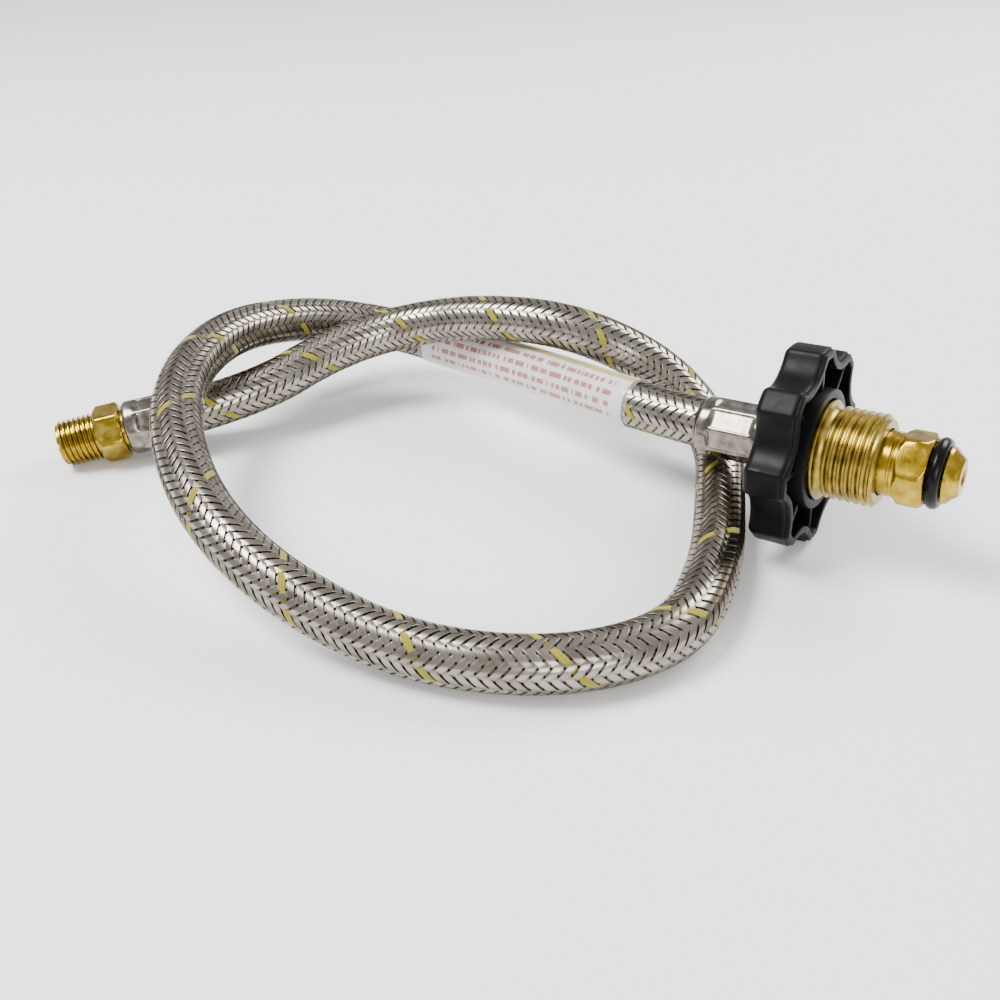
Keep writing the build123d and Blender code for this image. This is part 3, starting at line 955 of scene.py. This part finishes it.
# label and sleeve
label = {
    "from": 39.0, "to": 116.4,       # stations along the hose, from its inlet end
    "inside": 6.56, "outside": 6.7,
    "sleeveInside": 6.74, "sleeveOutside": 6.96, "overhang": 1.5,
    "stripe": (0.765, 0.03),        # middle and half width of the yellow stripe, in turns
    "marks": (0.585, 0.135),         # the same for the part with red marks
    "rows": 14.0,                    # mark rows to a full turn
}


def labelFilm():
    # printed polyester film, calendered: white with a faint silver weave showing through,
    # a yellow stripe along one side and rows of plain red dashes that spell nothing
    material = newMaterial("polyesterFilmPrinted", "#e6e4e2", 0.0, 0.32)
    angle = addNode(material, "Attribute", {"attribute_name": "angle"})
    along = addNode(material, "Attribute", {"attribute_name": "station"})
    place = addNode(material, "TexCoord")
    cloud = addNode(material, "TexNoise", None, {"Scale": 1000 / 1.2, "Detail": 3.0},
                    {"Vector": place.outputs["Object"]})
    base = addNode(material, "ValToRGB", None, None, {"Fac": cloud.outputs["Fac"]},
                   [(0.3, "#cfccc9"), (0.55, "#dfdcda"), (0.75, "#ebe9e7")])
    stripe = addNode(material, "Math", {"operation": "COMPARE"},
                     {1: label["stripe"][0], 2: label["stripe"][1]}, {0: angle.outputs["Fac"]})
    striped = addNode(material, "Mix", {"data_type": "RGBA"}, {7: hexColour("#b0a30c")},
                      {0: stripe.outputs["Value"], 6: base.outputs["Color"]})
    marks = labelMarks(material, angle, along)
    marked = addNode(material, "Mix", {"data_type": "RGBA"}, {7: hexColour("#9c2f22")},
                     {0: marks.outputs["Value"], 6: striped.outputs[2]})
    feed(material, "Base Color", marked.outputs[2])
    return material


def labelMarks(material, angle, along):
    # rows round the hose, broken into dashes of one to three mm, inside one band and clear of the ends
    rows = addNode(material, "Math", {"operation": "MULTIPLY"}, {1: label["rows"]}, {0: angle.outputs["Fac"]})
    share = addNode(material, "Math", {"operation": "FRACT"}, None, {0: rows.outputs["Value"]})
    line = addNode(material, "Math", {"operation": "COMPARE"}, {1: 0.5, 2: 0.24}, {0: share.outputs["Value"]})
    number = addNode(material, "Math", {"operation": "FLOOR"}, None, {0: rows.outputs["Value"]})
    offset = addNode(material, "Math", {"operation": "MULTIPLY_ADD"}, {1: 37.0},
                     {0: number.outputs["Value"], 2: along.outputs["Fac"]})
    breaks = addNode(material, "TexNoise", {"noise_dimensions": "1D"}, {"Scale": 0.55, "Detail": 1.0},
                     {"W": offset.outputs["Value"]})
    dash = addNode(material, "Math", {"operation": "GREATER_THAN"}, {1: 0.46}, {0: breaks.outputs["Fac"]})
    band = addNode(material, "Math", {"operation": "COMPARE"}, {1: label["marks"][0], 2: label["marks"][1]},
                   {0: angle.outputs["Fac"]})
    middle, reach = (label["from"] + label["to"]) / 2, (label["to"] - label["from"]) / 2 - 4
    clear = addNode(material, "Math", {"operation": "COMPARE"}, {1: middle, 2: reach},
                    {0: along.outputs["Fac"]})
    both = addNode(material, "Math", {"operation": "MULTIPLY"}, None,
                   {0: line.outputs["Value"], 1: dash.outputs["Value"]})
    within = addNode(material, "Math", {"operation": "MULTIPLY"}, None,
                     {0: band.outputs["Value"], 1: clear.outputs["Value"]})
    return addNode(material, "Math", {"operation": "MULTIPLY"}, None,
                   {0: both.outputs["Value"], 1: within.outputs["Value"]})


def sleeveClear():
    # polyolefin heat shrink, extruded: clear, glossy, with small creases where it shrank
    material = newMaterial("polyolefinShrunk", "#f4f4f4", 0.0, 0.12)
    shader = material.node_tree.nodes["Principled BSDF"]
    shader.inputs["Alpha"].default_value = 0.1
    shader.inputs["Specular IOR Level"].default_value = 0.9
    shader.inputs["Coat Weight"].default_value = 0.6
    shader.inputs["Coat Roughness"].default_value = 0.05
    return material


def hoseTube(name, low, high, inside, outside, crease, material):
    # a thin tube that follows the hose, closed at both ends
    sides, rows = 96, int((high - low) / 0.5) + 1
    lengthwise = np.concatenate([np.linspace(low, high, rows), np.linspace(high, low, rows)])
    base = np.concatenate([np.full(rows, outside), np.full(rows, inside)])
    turn = np.linspace(0, 2 * math.pi, sides, endpoint=False)
    station, angle = np.meshgrid(lengthwise, turn, indexing="ij")
    radius = base[:, None] + crease(station, angle)
    points, quads = gridMesh(onHose(station, angle, radius), endsJoined=True)
    piece = meshPiece(name, points, quads,
                      {"station": station.ravel(), "angle": (angle / (2 * math.pi)).ravel()})
    piece.data.materials.append(material)
    cleanMesh(piece, 40, merge=0.0000005)
    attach(piece, "hose")
    return piece


def noCreases(station, angle):
    return np.zeros_like(station)


def sleeveCreases(station, angle):
    # lengthwise facets all along and short wrinkles near the inlet end
    facets = 0.04 + 0.04 * np.cos(7 * angle + 0.6 * np.sin(station * 0.12))
    ends = np.exp(-((station - label["from"] - 1.0) / 2.2) ** 2)
    return facets + 0.07 * ends * (1 + np.sin(17 * angle + station * 1.3))


hoseLabel = hoseTube("hoseLabel", label["from"], label["to"], label["inside"], label["outside"],
                     noCreases, labelFilm())
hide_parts("print_label")
clearSleeve = hoseTube("clearSleeve", label["from"] - label["overhang"], label["to"] + label["overhang"],
                       label["sleeveInside"], label["sleeveOutside"],
                       sleeveCreases, sleeveClear())
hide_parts("clear_sleeve")
print("label and sleeve made")

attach(gasHose, "hose")
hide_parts("hose_liner")


# studio
studio = {
    "floor": "#ffffff", "world": "#ffffff", "worldStrength": 0.75,
    "lights": [
        # name, place, aim, size, power in watts (all metres)
        ("keyLight", (-0.5, -0.35, 0.9), (-0.08, -0.04, 0), 0.5, 17),
        ("backLight", (0.2, 0.8, 0.7), (-0.08, -0.04, 0.02), 0.6, 12),
        ("fillLight", (0.7, -0.6, 0.45), (0, 0, 0.02), 0.5, 5),
    ],
}


def makeStudio():
    clearSelection()
    bpy.ops.mesh.primitive_plane_add(size=8, location=(0, 0, -0.0002))
    floor = bpy.context.object
    floor.name = "studioFloor"
    paper = newMaterial("studioPaper", studio["floor"], 0.0, 0.9)
    floor.data.materials.append(paper)
    world = bpy.data.worlds.new("studioWorld")
    bpy.context.scene.world = world
    world.use_nodes = True
    glow = world.node_tree.nodes["Background"]
    glow.inputs["Color"].default_value = hexColour(studio["world"])
    glow.inputs["Strength"].default_value = studio["worldStrength"]
    for name, place, aim, size, power in studio["lights"]:
        data = bpy.data.lights.new(name, "AREA")
        data.shape = "DISK"
        data.size = size
        data.energy = power
        lamp = bpy.data.objects.new(name, data)
        bpy.context.scene.collection.objects.link(lamp)
        lamp.location = place
        lamp.rotation_euler = (Vector(aim) - Vector(place)).to_track_quat("-Z", "Y").to_euler()


makeStudio()
print("studio made")
